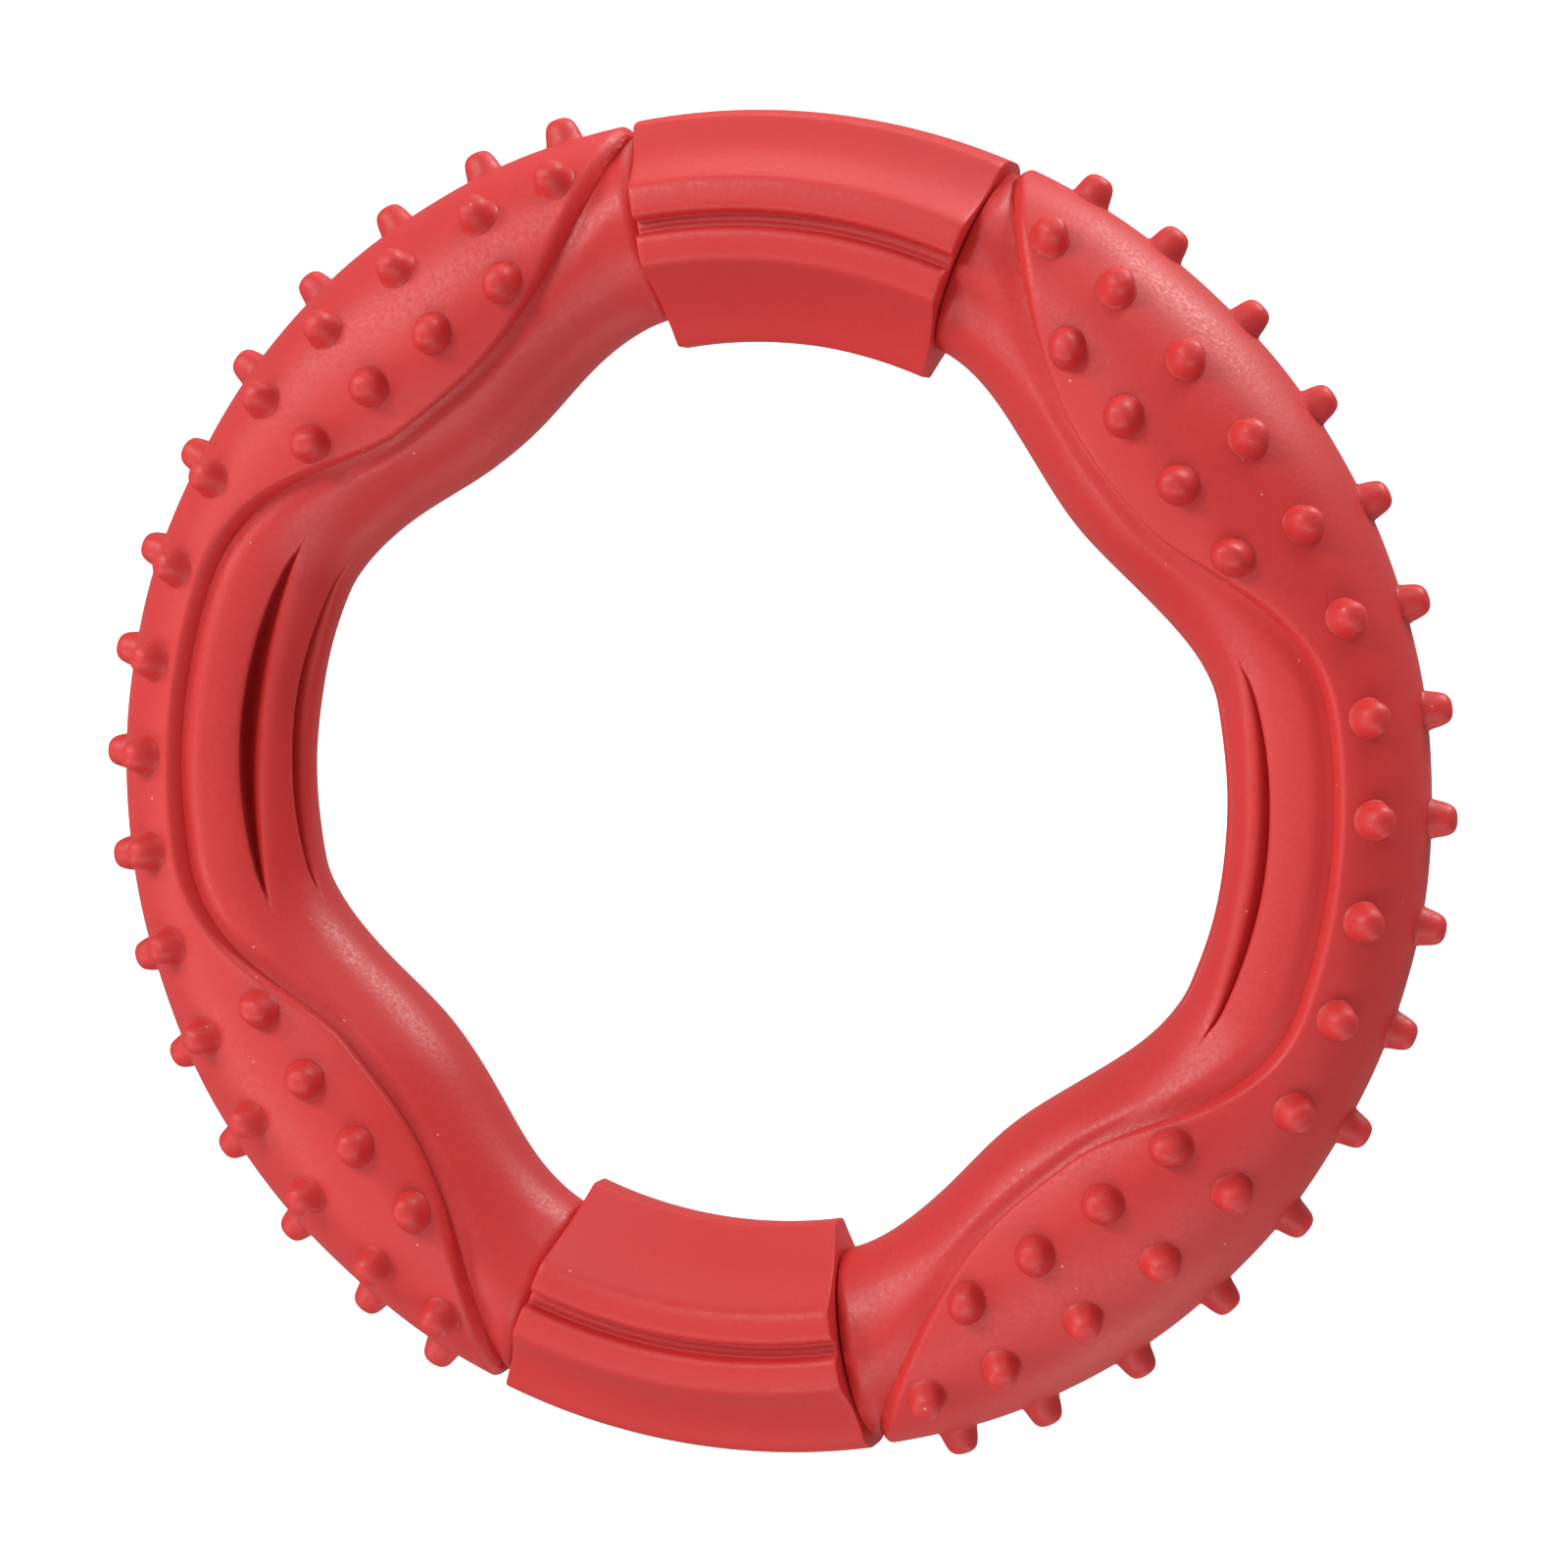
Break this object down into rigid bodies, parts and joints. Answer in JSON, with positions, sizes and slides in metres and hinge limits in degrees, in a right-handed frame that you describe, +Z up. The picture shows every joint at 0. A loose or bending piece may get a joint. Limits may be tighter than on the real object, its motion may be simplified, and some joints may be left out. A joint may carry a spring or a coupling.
{
  "type": "rubber chew ring",
  "caption": "Solid rubber chew ring for a dog: a round core with slots inside, nubbed treads over its long sides and plain grooved bands round its necks",
  "frame": {"origin": "centre of the ring at the height of the lowest nubs, on which it lies", "axes": "+Z up along the ring's axis, +X through the middle of the right tread, +Y through the middle of the top band"},
  "size_m": [0.1636, 0.1576, 0.0354],
  "materials": {
    "core_rubber": "satin",
    "tread_rubber": "satin",
    "band_rubber": "satin"
  },
  "bodies": {
    "root": {"core_ring": "core_rubber", "left_tread": "tread_rubber", "right_tread": "tread_rubber", "top_band": "band_rubber", "bottom_band": "band_rubber"}
  },
  "joints": []
}
